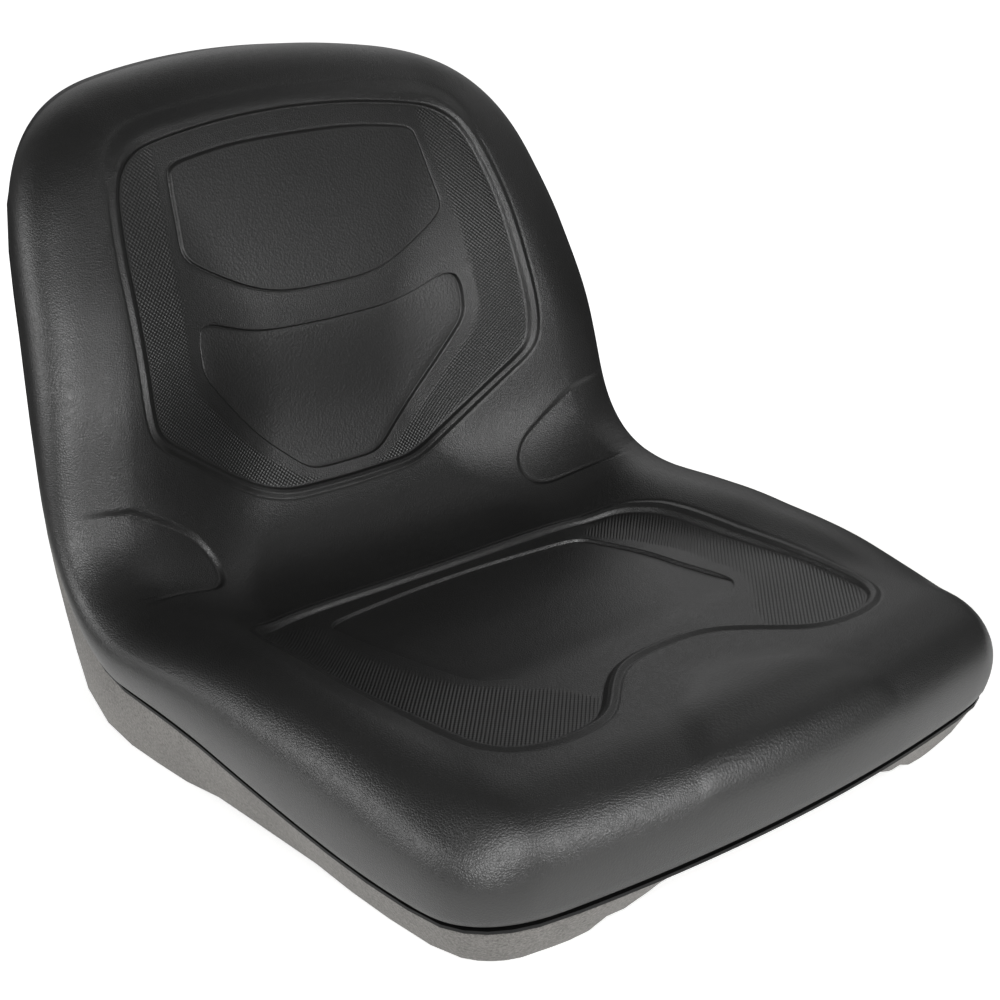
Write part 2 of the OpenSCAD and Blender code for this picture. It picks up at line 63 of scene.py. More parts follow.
# Knots of the smooth curves along b.
TURN = [(0, -7), (60, -1.8), (150, 4.5), (280, 8), (375, 3), (415, 30.1), (450, 52.2), (480, 57.4),
        (530, 75.2), (620, 71.5), (730, 61.7), (825, 36.1)]
LIFT = [(0, 90), (230, 90), (310, 100.2), (400, 111.4), (475, 138), (565, 166.8), (660, 184.5), (825, 169)]
HALF = [(0, 227.7), (60, 239.5), (150, 242.8), (280, 243.7), (380, 246.6), (450, 243.9), (530, 242.1),
        (660, 228.4), (755, 209.5), (825, 195.2)]
ROLL = [(0, 59.9), (280, 26.9), (425, 33.6), (565, 45.3), (825, 46.9)]
BULGE = [(0, 12.1), (425, 18.2), (565, 16.7), (825, 8.8)]
FOAM = [(0, 72.2), (60, 73.6), (140, 71), (235, 54.3), (310, 37.8), (395, 20.3), (475, 9.3), (530, 14.6),
        (660, 41.9), (755, 52.2), (825, 66.2)]
BOLSTER = [(0, -28.2), (60, -8), (140, 6), (280, 21), (380, 27.4), (455, 32.1), (530, 34), (660, 19.9),
           (755, 7), (825, 20)]
BOLSTER_START = [(0, 0.85), (380, 0.54), (565, 0.2), (825, 0.73)]
BOLSTER_END = 0.88
# Upper edge of the pommel, as b over the distance from the centre line.
POMMEL_TOP = [(0, 81), (15, 79), (42, 66), (68, 46), (82, 34), (92, 15), (100, -10)]

# Panel outlines on the right half, as legs from the lower centre round the side to the upper centre.
SEAT_PANEL = [
    [(0, 128.5), (20, 128), (35, 125), (48, 119.5), (59, 111.5), (68, 104), (78, 94.5), (90, 84),
     (102, 78), (120, 75), (138, 76), (152, 80), (162, 87)],
    [(162, 87), (169, 95.5), (173.5, 112), (177, 150), (179, 190), (178.5, 240), (178, 300),
     (175.5, 318), (169, 336)],
    [(169, 336), (162, 346.5), (146, 354), (122, 358.5), (83, 359), (40, 358), (0, 358)]]
SEAT_SHIELD = [
    [(0, 143), (28, 142), (42, 138), (56, 131), (68, 130), (85, 141), (104, 157), (112, 164)],
    [(112, 164), (118, 172), (120, 195), (121, 230), (122.5, 266), (120, 308), (117.5, 325)],
    [(117.5, 325), (113, 332), (100, 336), (66, 340), (27, 343.5), (0, 343.5)]]
BACK_PANEL = [
    [(0, 485.5), (48, 486.5), (61, 488.5), (80, 496), (115, 515), (152, 541.5), (161, 549.5)],
    [(161, 549.5), (167.5, 558), (170.5, 573), (170.5, 600), (168, 645), (165.5, 684), (161.5, 710),
     (155.5, 735), (149, 747)],
    [(149, 747), (141, 756.5), (123, 766), (71, 774), (36, 777), (0, 778)]]
BADGE_LINE = [
    [(0, 646), (26, 646), (48, 649), (70, 657.5), (85, 666), (104, 677.5), (111, 683.5)],
    [(111, 683.5), (115.5, 690.5), (113.5, 703), (111.5, 722), (109.5, 738), (108, 745)],
    [(108, 745), (103.5, 749.5), (80, 753.5), (53, 757), (20, 758), (0, 758)]]
BACK_SHIELD = [
    [(0, 497.5), (27, 497.5), (36, 502), (47, 512), (65, 528), (84, 547.5), (101, 568), (113.5, 586)],
    [(113.5, 586), (118, 595), (119, 608), (118.5, 624), (115, 632)],
    [(115, 632), (109, 635.5), (99, 632), (82, 624), (64, 618), (45, 615.5), (0, 614.5)]]
# Smooth fields between the cross-hatched bands of the seat and of the back, on the right half.
BACK_FIELD = [(-9, 480), (38, 492), (55, 505), (74.5, 520.5), (92.5, 539), (111, 561), (124.5, 580),
              (128, 595), (130, 610), (129, 630), (127, 650), (126.5, 672), (124.5, 695), (122, 715),
              (120.5, 732), (118, 748), (114, 790), (-9, 790)]
SEAT_FIELD = [(-9, 40), (60, 40), (83, 122), (113, 146), (128, 167), (136, 200), (139, 239), (137, 283),
              (128, 316), (122, 340), (175, 346), (175, 370), (-9, 370)]

# Stations of the skin, as many times finer than the source's.
FINE = 6
FRONT, CORNER_N, SIDE, BACK, TOP, CREASE_N, DIVIDE = (n * FINE for n in (13, 6, 11, 11, 6, 8, 5))
DIVIDE_AT = 630.0
LEGS_SEAT = (FRONT + CORNER_N // 2, CORNER_N // 2 + SIDE, CREASE_N)
LEGS_BACK = (CREASE_N, BACK + CORNER_N // 2, CORNER_N // 2 + TOP)
CELL = CREASE_N + 7 * FINE
LEGS_SHIELD = (CREASE_N, CELL - CREASE_N, DIVIDE)
LEGS_BADGE = (DIVIDE, LEGS_BACK[0] + LEGS_BACK[1] - CELL, LEGS_BACK[2])
BEND = FRONT + CORNER_N + SIDE
STATIONS = BEND + BACK + CORNER_N + TOP
ROLL_RINGS = 28
ROLL_SHARE = 0.55

# Where the lines of a panel's edge and of a step run, outwards from their outline.
EDGE_LINES = (11, 10.2, 9.6, 9.1, 8.6, 8.1, 7.5, 6.8, 6.1, 5.4, 4.7, 4, 3.3, 2.7, 2.1, 1.5, 0.9, 0.3, -0.3,
              -0.9, -1.5, -2.2, -3.2)
STEP_LINES = (2.6, 1.9, 1.4, 1, 0.6, 0.2, -0.2, -0.6, -1, -1.4, -1.9, -2.6)
# Insets of the cushion's lip and its heights over the carrier sheet.
LIP = ((8.0, 3.2), (0.8, 3.2), (-0.3, 3.4), (-0.9, 3.9))
PANEL_FLOOR = -PANEL_DEPTH


def curve(knots, x):
    """Smooth curve through knots that never overshoots them."""
    k = np.array(knots, float)
    px, py = k[:, 0], k[:, 1]
    step = np.diff(px)
    rise = np.diff(py) / step
    lean = np.zeros(len(px))
    lean[0], lean[-1] = rise[0], rise[-1]
    for i in range(1, len(px) - 1):
        if rise[i - 1] * rise[i] > 0:
            lean[i] = 2 * rise[i - 1] * rise[i] / (rise[i - 1] + rise[i])
    x = np.clip(np.asarray(x, float), px[0], px[-1])
    i = np.clip(np.searchsorted(px, x, side="right") - 1, 0, len(px) - 2)
    t = (x - px[i]) / step[i]
    return ((2 * t**3 - 3 * t**2 + 1) * py[i] + (t**3 - 2 * t**2 + t) * step[i] * lean[i]
            + (3 * t**2 - 2 * t**3) * py[i + 1] + (t**3 - t**2) * step[i] * lean[i + 1])


def ease(t):
    t = np.clip(t, 0, 1)
    return t * t * (3 - 2 * t)


def hill(d, at, width):
    return np.exp(-(((d - at) / width) ** 2))


def bow(t):
    return 0.7 * t + 0.3 * np.sin(t * math.pi / 2)


def slope(b):
    k = np.array(TURN, float)
    return np.radians(np.interp(b, k[:, 0], k[:, 1]))


RUN_B = np.arange(0, RUN + 120, 1.0)
RUN_Y = -FRONT_REACH + np.r_[0, np.cumsum(np.cos(slope(RUN_B[:-1] + 0.5)))]
RUN_Z = RIM_HEIGHT + np.r_[0, np.cumsum(np.sin(slope(RUN_B[:-1] + 0.5)))]


def base(b):
    """Side view of the carrier: the point reached after running b along it."""
    ahead = np.minimum(b, 0)
    return (np.interp(b, RUN_B, RUN_Y) + ahead * math.cos(slope(0)),
            np.interp(b, RUN_B, RUN_Z) + ahead * math.sin(slope(0)))


# The same line softened, for the inside of the foam: its mean over a reach to both sides.
SOFT_B = np.arange(-60, RUN + 60, 1.0)
SOFT_Y, SOFT_Z = np.mean([base(SOFT_B + reach) for reach in range(-48, 49, 4)], axis=0)


def edge(a, b):
    """Distance of sheet points from the cushion's edge, the way out to it, and the share of the width."""
    w = curve(HALF, b)
    u = np.abs(a) / w
    front = b < RUN / 2
    r = np.where(front, CORNER[0], CORNER[1])
    p = np.where(front, SQUARE[0], SQUARE[1])
    da = w - np.abs(a)
    db = np.where(front, b - CROWN[0] * u * u, RUN - b - CROWN[1] * u * u)
    qa = np.maximum(1 - da / r, 0)
    qb = np.maximum(1 - db / r, 0)
    m = (qa**p + qb**p) ** (1 / p)
    safe = np.maximum(m, 1e-9)
    na = np.where(m > 0, (qa / safe) ** (p - 1), 0)
    nb = np.where(m > 0, (qb / safe) ** (p - 1), 0)
    size = np.hypot(na, nb) + 1e-12
    gap = np.where(m > 0, r * (1 - m), np.minimum(da, db))
    return gap, na / size * np.sign(a), nb / size * np.where(front, -1, 1), u


def pommel(a, b):
    """Share of the pommel's height: a low bell on the front edge."""
    return ease((curve(POMMEL_TOP, np.abs(a)) + 10 - b) / 24) * ease((b - 4) / 14)


def soft_min(p, q, reach):
    """The smaller of two distances, with the corner between them rounded."""
    return np.minimum(p, q) - np.maximum(reach - np.abs(p - q), 0) ** 2 / (4 * reach)


def pocket_gap(a, b):
    """Distance into a hip pocket from its outline."""
    across = np.abs(a)
    low = (b - 402 - 0.28 * (204 - across)) * 0.96
    high = (499 - 0.62 * (204 - across) - b) * 0.85
    return soft_min(soft_min(across - 142, low, 20), high, 20)


def pocket(a, b):
    """Depth of a hip pocket, with a groove at the foot of its wall, running out into the rolled side."""
    gap = pocket_gap(a, b)
    return (POCKET * ease((gap + 3) / 6) + POCKET_GROOVE * hill(gap, 1.0, 1.7)) * ease((220 - np.abs(a)) / 20)


def face(a, b, rise=0.0):
    """Foam face over sheet points, as x, y, z in metres."""
    d, na, nb, u = edge(a, b)
    w = curve(ROLL, b)
    s = np.clip(d / w, 0, 1)
    phi = s * math.pi / 2
    inset = w * (1 - np.cos(phi)) - curve(BULGE, b) * np.sin(2 * phi)
    shift = np.where(s < 1, d - inset, 0)
    start = curve(BOLSTER_START, b)
    thick = (curve(FOAM, b) + curve(BOLSTER, b) * ease((u - start) / (BOLSTER_END - start)) + rise
             + POMMEL * pommel(a, b) - pocket(a, b))
    g = np.sin(phi) ** 0.92
    pb = b + nb * shift
    lean = np.radians(curve(LIFT, pb))
    y, z = base(pb)
    y = y * (1 - g) + np.interp(pb, SOFT_B, SOFT_Y) * g + thick * g * np.cos(lean)
    z = z * (1 - g) + np.interp(pb, SOFT_B, SOFT_Z) * g + thick * g * np.sin(lean)
    return np.stack([a + na * shift, y, z], -1) * 0.001


def raised(flat, rise):
    """Points over the carrier sheet, square to it, in metres."""
    y, z = base(flat[:, 1])
    lean = slope(flat[:, 1])
    return np.stack([flat[:, 0], y - rise * np.sin(lean), z + rise * np.cos(lean)], -1) * 0.001


def cut(points, times=4):
    """Rounds a line of points by cutting its corners."""
    p = np.array(points, float)
    for _ in range(times):
        before = p[1:-1] + (p[:-2] - p[1:-1]) / 4
        after = p[1:-1] + (p[2:] - p[1:-1]) / 4
        p = np.vstack([p[:1], np.stack([before, after], 1).reshape(-1, 2), p[-1:]])
    return p


def spaced(points, n, squeeze):
    """Spaces a leg out again, with its points closer together towards the panel's corners."""
    p = cut(points)
    s = np.r_[0, np.cumsum(np.hypot(*np.diff(p, axis=0).T))]
    u = np.linspace(0, 1, n + 1)
    t = (0.6 * u + 0.4 * np.sin(u * math.pi / 2),
         0.6 * u + 0.2 * (1 - np.cos(u * math.pi)),
         1 - 0.6 * (1 - u) - 0.4 * np.sin((1 - u) * math.pi / 2))[squeeze] * s[-1]
    return np.stack([np.interp(t, s, p[:, 0]), np.interp(t, s, p[:, 1])], 1)


def softened(p, times=3):
    """Takes the last kinks out of an outline without moving its ends off the centre line."""
    for _ in range(times):
        q = p.copy()
        q[1:-1] = p[1:-1] * 0.5 + (p[:-2] + p[2:]) * 0.25
        p = q
    return p


def outline(legs, counts):
    parts = [spaced(leg, n, k) for k, (leg, n) in enumerate(zip(legs, counts))]
    return softened(np.vstack([parts[0], parts[1][1:], parts[2][1:]]))


def moved(p, d):
    """The outline moved outwards by d."""
    t = np.gradient(p, axis=0)
    t[0], t[-1] = (1, 0), (-1, 0)
    t /= np.linalg.norm(t, axis=1)[:, None]
    return p + d * np.stack([t[:, 1], -t[:, 0]], 1)


seat_panel = outline(SEAT_PANEL, LEGS_SEAT)
seat_shield = outline(SEAT_SHIELD, LEGS_SEAT)
back_panel = outline(BACK_PANEL, LEGS_BACK)
badge_line = outline(BADGE_LINE, LEGS_BADGE)
back_shield = outline(BACK_SHIELD, LEGS_SHIELD)


def settled(a, da, db, front):
    """Sheet points at a from the centre line, or da in from the side, and db in from the bowed edge."""
    crown = CROWN[0] if front else CROWN[1]
    u = 0.9
    for _ in range(7):
        b = db + crown * u * u if front else RUN - db - crown * u * u
        w = curve(HALF, b)
        x = a if da is None else w - da
        u = x / w
    return np.stack([x, b], 1)


def corner_place(q, end, d):
    """How far in from the side and from the end a corner runs, at angles q and an inset d."""
    q = np.radians(q)
    r, p = CORNER[end], SQUARE[end]
    return r - (r - d) * np.sin(q) ** (2 / p), r - (r - d) * np.cos(q) ** (2 / p)


def edge_ring(inset):
    """Half loop of sheet points in from the cushion's edge by the inset of each station."""
    d = np.split(inset, np.cumsum([FRONT + 1, CORNER_N, SIDE, BACK, CORNER_N]))
    along = seat_panel[: FRONT + 1, 0] / seat_panel[FRONT, 0]
    q = np.linspace(0, 90, CORNER_N + 1)
    b0 = CORNER[0] + CROWN[0]
    b1 = RUN - CORNER[1] - CROWN[1]
    side = b0 + (CREASE - b0) * bow(np.arange(1, SIDE + 1) / SIDE)
    back = b1 - (b1 - CREASE) * bow(np.arange(BACK - 1, -1, -1) / BACK)
    top = bow(np.arange(TOP - 1, -1, -1) / TOP)
    return np.vstack([
        settled(along * (float(curve(HALF, 18)) - CORNER[0]), None, d[0], True),
        settled(None, *corner_place(q[1:], 0, d[1]), True),
        np.stack([curve(HALF, side) - d[2], side], 1),
        np.stack([curve(HALF, back) - d[3], back], 1),
        settled(None, *corner_place(q[-2::-1], 1, d[4]), False),
        settled(top * (float(curve(HALF, 815)) - CORNER[1]), None, d[5], False)])


class Skin:
    """Collects rings of sheet points into one closed mesh.

    A ring is a half loop from the centre line round the right side and back to it, and its mirror image.
    """

    def __init__(self):
        self.points = []
        self.flat = []
        self.faces = []
        self.count = 0

    def lay(self, flat, points, chain=False):
        """Adds a ring, or a chain that ends on the centre line, and gives its right and left indices."""
        n = len(flat)
        points[0 if not chain else n - 1, 0] = 0
        points[-1, 0] = 0
        keep = slice(0, n - 1) if chain else slice(1, n - 1)
        mirror = points[keep] * (-1, 1, 1)
        self.points += [points, mirror]
        self.flat += [flat, flat[keep] * (-1, 1)]
        right = np.arange(self.count, self.count + n)
        left = right.copy()
        left[keep] = np.arange(self.count + n, self.count + n + len(mirror))
        self.count += n + len(mirror)
        return right, left

    def add(self, flat, rise, chain=False):
        return self.lay(flat, face(flat[:, 0], flat[:, 1], rise), chain)

    def band(self, outer, inner):
        for side, (o, n) in enumerate(zip(outer, inner)):
            quads = np.stack([o[:-1], n[:-1], n[1:], o[1:]], 1)
            self.faces.append(quads if side == 0 else quads[:, ::-1])

    def rings(self, first, flats, rises):
        last = first
        for flat, rise in zip(flats, rises):
            ring = self.add(flat, rise)
            self.band(last, ring)
            last = ring
        return last

    def hub(self, ring, place, rise):
        """Closes a ring with a fan to one point."""
        self.points.append(face(place[:, 0], place[:, 1], rise))
        self.flat.append(place)
        for side, r in enumerate(ring):
            fan = np.stack([r[:-1], np.full(len(r) - 1, self.count), r[1:]], 1)
            self.faces.append(fan if side == 0 else fan[:, ::-1])
        self.count += 1

    def underside(self, ring):
        """Closes a ring with strips from side to side."""
        r, l = ring
        self.faces.append(np.stack([r[1:-2], r[2:-1], l[2:-1], l[1:-2]], 1))
        self.faces.append(np.array([[r[0], r[1], l[1]], [r[-2], r[-1], l[-2]]]))


def between(p, q, n):
    """The n - 1 lines that lie between two lines."""
    return [p + (q - p) * t for t in np.linspace(0, 1, n + 1)[1:n]]


def shrunk(p, share):
    middle = np.array([0, (p[0, 1] + p[-1, 1]) / 2])
    return middle + (p - middle) * share


def panel_height(d):
    """Height across a panel's edge: a groove, a raised bead, then the wall down to the panel floor."""
    return BEAD * hill(d, 4.4, 1.8) - 0.5 * hill(d, 8.4, 1.1) - PANEL_DEPTH * ease((1.8 - d) / 3.6)


def step_height(d, size):
    """Height across a step, with a crease at its foot."""
    foot = -1.1 if size < 0 else 1.1
    return size * ease((1 - d) / 2) - 0.45 * hill(d, foot, 0.7)


def fading(flat, depth):
    """Height of the seat shield, which runs out towards the front."""
    return PANEL_FLOOR + depth * ease((flat[:, 1] - 148) / 44)


def cell(skin, first, bound, line, size, gaps):
    """A shield or badge in its part of a panel: floor, step and field."""
    lines = [moved(line, d) for d in STEP_LINES]
    ring = skin.rings(first, between(bound, lines[0], gaps), [PANEL_FLOOR] * (gaps - 1))
    ring = skin.rings(ring, lines, [PANEL_FLOOR + step_height(d, size) for d in STEP_LINES])
    core = [shrunk(lines[-1], share) for share in np.linspace(1, 0, 12)[1:-1]]
    ring = skin.rings(ring, core, [PANEL_FLOOR + size] * len(core))
    skin.hub(ring, shrunk(lines[-1], 0)[:1], PANEL_FLOOR + size)


def make_skin():
    skin = Skin()
    # A rounded lip that stands off the sheet, so that a dark gap shows above the carrier's edge.
    rim = edge_ring(np.zeros(STATIONS + 1))
    last = None
    for inset, rise in LIP:
        flat = edge_ring(np.full(STATIONS + 1, inset))
        ring = skin.lay(flat, raised(flat, rise))
        if last is None:
            skin.underside(ring)
        else:
            skin.band(last, ring)
        last = ring

    t = np.linspace(0, 1, ROLL_RINGS + 1)
    bent = np.sin(t * math.pi * 0.41)
    marks = ROLL_SHARE * (0.75 * t + 0.25 * bent / bent[-1])
    for mark in marks[3:]:
        flat = edge_ring(mark * curve(ROLL, rim[:, 1]))
        ring = skin.add(flat, 0)
        skin.band(last, ring)
        last = ring
    t = np.arange(1, CREASE_N + 1) / CREASE_N
    crease = np.stack([flat[BEND, 0] * (1 - t), np.full(CREASE_N, CREASE)], 1)
    chain = skin.add(crease, 0, chain=True)
    rises = [panel_height(d) for d in EDGE_LINES]

    bound = np.vstack([flat[: BEND + 1], crease])
    ring = tuple(np.r_[r[: BEND + 1], c] for r, c in zip(last, chain))
    lines = [moved(seat_panel, d) for d in EDGE_LINES]
    ring = skin.rings(ring, between(bound, lines[0], 17), [0] * 16)
    ring = skin.rings(ring, lines, rises)
    steps = [moved(seat_shield, d) for d in STEP_LINES]
    ring = skin.rings(ring, between(lines[-1], steps[0], 15), [PANEL_FLOOR] * 14)
    ring = skin.rings(ring, steps, [fading(p, step_height(d, -SHIELD_DEPTH)) for p, d in zip(steps, STEP_LINES)])
    core = [shrunk(steps[-1], share) for share in np.linspace(1, 0, 13)[1:-1]]
    ring = skin.rings(ring, core, [fading(p, -SHIELD_DEPTH) for p in core])
    middle = shrunk(steps[-1], 0)[:1]
    skin.hub(ring, middle, fading(middle, -SHIELD_DEPTH))

    bound = np.vstack([crease[::-1], flat[BEND:]])
    ring = tuple(np.r_[c[::-1], r[BEND:]] for r, c in zip(last, chain))
    lines = [moved(back_panel, d) for d in EDGE_LINES]
    ring = skin.rings(ring, between(bound, lines[0], 14), [0] * 13)
    ring = skin.rings(ring, lines, rises)
    floor_line = lines[-1]
    t = np.arange(1, DIVIDE + 1) / DIVIDE
    drop = ease(t)
    divide = np.stack([floor_line[CELL, 0] * (1 - t), floor_line[CELL, 1] * (1 - drop) + DIVIDE_AT * drop], 1)
    chain = skin.add(divide, PANEL_FLOOR, chain=True)
    cell(skin, tuple(np.r_[r[: CELL + 1], c] for r, c in zip(ring, chain)),
         np.vstack([floor_line[: CELL + 1], divide]), back_shield, -SHIELD_DEPTH, 13)
    cell(skin, tuple(np.r_[c[::-1], r[CELL:]] for r, c in zip(ring, chain)),
         np.vstack([divide[::-1], floor_line[CELL:]]), badge_line, BADGE, 13)
    return skin


def inside(polygon, a, b, soft):
    """Share of each point inside a closed polygon on the right half, softened over a distance."""
    p = cut(polygon, 2)
    q = np.roll(p, -1, axis=0)
    a = np.abs(a)
    hit = np.zeros(len(a), int)
    far = np.full(len(a), 1e9)
    for (xa, ya), (xb, yb) in zip(p, q):
        if ya != yb:
            cross = (ya > b) != (yb > b)
            hit += cross & (a < (xb - xa) * (b - ya) / (yb - ya) + xa)
        run = max((xb - xa) ** 2 + (yb - ya) ** 2, 1e-9)
        t = np.clip(((a - xa) * (xb - xa) + (b - ya) * (yb - ya)) / run, 0, 1)
        far = np.minimum(far, np.hypot(a - xa - t * (xb - xa), b - ya - t * (yb - ya)))
    return ease(0.5 + np.where(hit % 2 == 1, far, -far) / soft)


def within(flat, a, b, inset, soft=1.6):
    """Share of each point inside a half outline that starts and ends on the centre line."""
    p = moved(flat, -inset)
    return inside(np.vstack([p, [(-1, p[-1, 1]), (-1, p[0, 1])]]), a, b, soft)


def finer_pockets(mesh):
    """Divides the faces along the outlines of the hip pockets, and sets the new points on the skin."""
    bm = bmesh.new()
    bm.from_mesh(mesh)
    sheet = bm.loops.layers.uv["sheet"]
    known = len(bm.verts)
    edges = set()
    for f in bm.faces:
        a, b = np.mean([loop[sheet].uv for loop in f.loops], axis=0) * 1000
        if 130 < abs(a) < 224 and abs(pocket_gap(a, b)) < 8:
            edges.update(f.edges)
    bmesh.ops.subdivide_edges(bm, edges=list(edges), cuts=3, use_grid_fill=True)
    bm.verts.index_update()
    for v in bm.verts:
        if v.index >= known:
            a, b = np.array(v.link_loops[0][sheet].uv) * 1000
            v.co = face(a, b)
    bm.to_mesh(mesh)
    bm.free()


def build_cushion():
    skin = make_skin()
    points, flat = np.vstack(skin.points), np.vstack(skin.flat)
    mesh = bpy.data.meshes.new("cushion_skin")
    mesh.from_pydata(points.tolist(), [], [f for block in skin.faces for f in block.tolist()])
    mesh.update()
    mesh.polygons.foreach_set("use_smooth", [True] * len(mesh.polygons))
    # Sheet coordinates in metres, for the grain.
    sheet = mesh.uv_layers.new(name="sheet")
    index = np.zeros(len(mesh.loops), np.int32)
    mesh.loops.foreach_get("vertex_index", index)
    sheet.data.foreach_set("uv", (flat[index] * 0.001).astype(np.float32).ravel())
    finer_pockets(mesh)
    uv = np.zeros(len(mesh.loops) * 2, np.float32)
    sheet = mesh.uv_layers["sheet"]
    sheet.data.foreach_get("uv", uv)
    index = np.zeros(len(mesh.loops), np.int32)
    mesh.loops.foreach_get("vertex_index", index)
    flat = np.zeros((len(mesh.vertices), 2))
    flat[index] = uv.reshape(-1, 2) * 1000
    a, b = flat.T
    in_seat = within(seat_panel, a, b, 3)
    in_back = within(back_panel, a, b, 3)
    fields = {
        "band_back": in_back * (1 - inside(BACK_FIELD, a, b, 3)),
        "band_seat": in_seat * (1 - inside(SEAT_FIELD, a, b, 3)),
        "sandy": np.clip(within(badge_line, a, b, 2) + within(back_shield, a, b, 2), 0, 1),
        "pommel": pommel(a, b)}
    for name, value in fields.items():
        layer = mesh.attributes.new(name, "FLOAT", "POINT")
        layer.data.foreach_set("value", value.astype(np.float32))
    cushion = bpy.data.objects.new("cushion_skin", mesh)
    bpy.context.scene.collection.objects.link(cushion)
    return cushion


class Wire:
    """A socket that can be used in sums, and the tree it belongs to."""

    def __init__(self, tree, socket=None):
        self.tree = tree
        self.socket = socket

    def node(self, kind, settings=None, sockets=None, out=0):
        """Adds a node: its settings are set first, then the values or links of its sockets."""
        n = self.tree.nodes.new(kind)
        for key, value in (settings or {}).items():
            setattr(n, key, value)
        for key, value in (sockets or {}).items():
            if isinstance(value, Wire):
                self.tree.links.new(value.socket, n.inputs[key])
            else:
                n.inputs[key].default_value = value
        return Wire(self.tree, n.outputs[out])

    def output(self, name):
        """Another output of the same node."""
        return Wire(self.tree, self.socket.node.outputs[name])

    def feed(self, socket):
        self.tree.links.new(self.socket, socket)

    def maths(self, operation, *values):
        return self.node("ShaderNodeMath", {"operation": operation}, dict(enumerate(values)))

    def __add__(self, other):
        return self.maths("ADD", self, other)

    def __radd__(self, other):
        return self.maths("ADD", other, self)

    def __sub__(self, other):
        return self.maths("SUBTRACT", self, other)

    def __rsub__(self, other):
        return self.maths("SUBTRACT", other, self)

    def __mul__(self, other):
        return self.maths("MULTIPLY", self, other)

    def __rmul__(self, other):
        return self.maths("MULTIPLY", other, self)


def new_material(name):
    """A material with its tree's wire and its shader's sockets."""
    material = bpy.data.materials.new(name)
    material.use_nodes = True
    tree = material.node_tree
    return material, Wire(tree), tree.nodes["Principled BSDF"].inputs


def noise(kit, vector, scale, detail=3.0, rough=0.5):
    return kit.node("ShaderNodeTexNoise", {}, {"Vector": vector, "Scale": scale, "Detail": detail,
                                               "Roughness": rough})


def cells(kit, vector, scale, feature="SMOOTH_F1"):
    return kit.node("ShaderNodeTexVoronoi", {"feature": feature}, {"Vector": vector, "Scale": scale})


def ranged(kit, value, low, high, to_low=0.0, to_high=1.0):
    return kit.node("ShaderNodeMapRange", {"clamp": True}, dict(enumerate((value, low, high, to_low, to_high))))


def tint(kit, share, dark, light):
    return kit.node("ShaderNodeMix", {"data_type": "RGBA"}, {0: share, 6: (*dark, 1), 7: (*light, 1)}, out=2)


def bump(kit, height, strength):
    return kit.node("ShaderNodeBump", {}, {"Strength": strength, "Distance": 1.0, "Height": height})


def skin_material():
    material, kit, shader = new_material("moulded_skin")
    sheet = kit.node("ShaderNodeUVMap", {"uv_map": "sheet"})
    across = kit.node("ShaderNodeSeparateXYZ", {}, {0: sheet})
    along = across.output("Y")

    def mask(name):
        return kit.node("ShaderNodeAttribute", {"attribute_name": name}, out="Fac")

    band_back, band_seat, sandy = mask("band_back"), mask("band_seat"), mask("sandy")
    bands = band_back + band_seat
    rough_skin = sandy + mask("pommel") * 0.8
    # Leather grain: pebbles parted by creases, with pores; sandy on the badge and the back shield.
    place = kit.node("ShaderNodeTexCoord", out="Object")
    wander = kit.node("ShaderNodeTexNoise", {}, {"Vector": place, "Scale": 170.0, "Detail": 2.0}, out="Color")
    bent = kit.node("ShaderNodeMix", {"data_type": "VECTOR"}, {0: 0.0022, 4: place, 5: wander}, out=1)
    creases = ranged(kit, cells(kit, bent, 620.0, "DISTANCE_TO_EDGE"), 0.0, 0.26)
    pebbles = cells(kit, bent, 620.0)
    pores = noise(kit, place, 2300.0, 2.0)
    grit = noise(kit, place, 1000.0, 3.0, 0.7)
    leather = creases * 0.9 + (1 - pebbles) * 0.6 + pores * 0.35
    sand = cells(kit, place, 560.0, "F1")
    grain = leather * (1 - rough_skin) + (sand * 1.8 + grit * 1.2) * rough_skin
    # Cross hatching: two families of fine ridges at 45 degrees to the seat.
    pitch = 2 * math.pi / 0.0024
    ridge_a = kit.maths("SINE", (across + along) * (pitch * 0.7071))
    ridge_b = kit.maths("SINE", (across - along) * (pitch * 0.7071))
    hatch = ridge_a * (0.5 - band_seat * 0.35) + ridge_b * (0.5 + band_seat * 0.2)
    height = grain * (1 - bands * 0.85) * 0.00012 + hatch * bands * 0.00030
    bump(kit, height, 0.75).feed(shader["Normal"])
    cloud = noise(kit, place, 14.0, 4.0, 0.6)
    dust = noise(kit, place, 60.0, 5.0, 0.65)
    share = ranged(kit, cloud * 0.6 + dust * 0.4, 0.35, 0.7)
    tint(kit, share, (0.0030, 0.0030, 0.0028), (0.0046, 0.0046, 0.0042)).feed(shader["Base Color"])
    rough = ranged(kit, cloud, 0.3, 0.7, 0.39, 0.44) + sandy * 0.05 + bands * 0.02
    (rough + ranged(kit, pores, 0.3, 0.7, -0.03, 0.03)).feed(shader["Roughness"])
    shader["Specular IOR Level"].default_value = 1.0
    return material


def pan_material():
    material, kit, shader = new_material("grained_pan")
    place = kit.node("ShaderNodeTexCoord", out="Object")
    grit = noise(kit, place, 600.0, 3.0, 0.75)
    stain = noise(kit, place, 9.0, 4.0, 0.6)
    height = cells(kit, place, 420.0) * 0.0005 + grit * 0.0004
    bump(kit, height, 0.8).feed(shader["Normal"])
    share = ranged(kit, stain * 0.3 + grit * 0.7, 0.38, 0.62)
    tint(kit, share, (0.10, 0.096, 0.09), (0.29, 0.278, 0.262)).feed(shader["Base Color"])
    ranged(kit, grit, 0.3, 0.7, 0.5, 0.62).feed(shader["Roughness"])
    return material


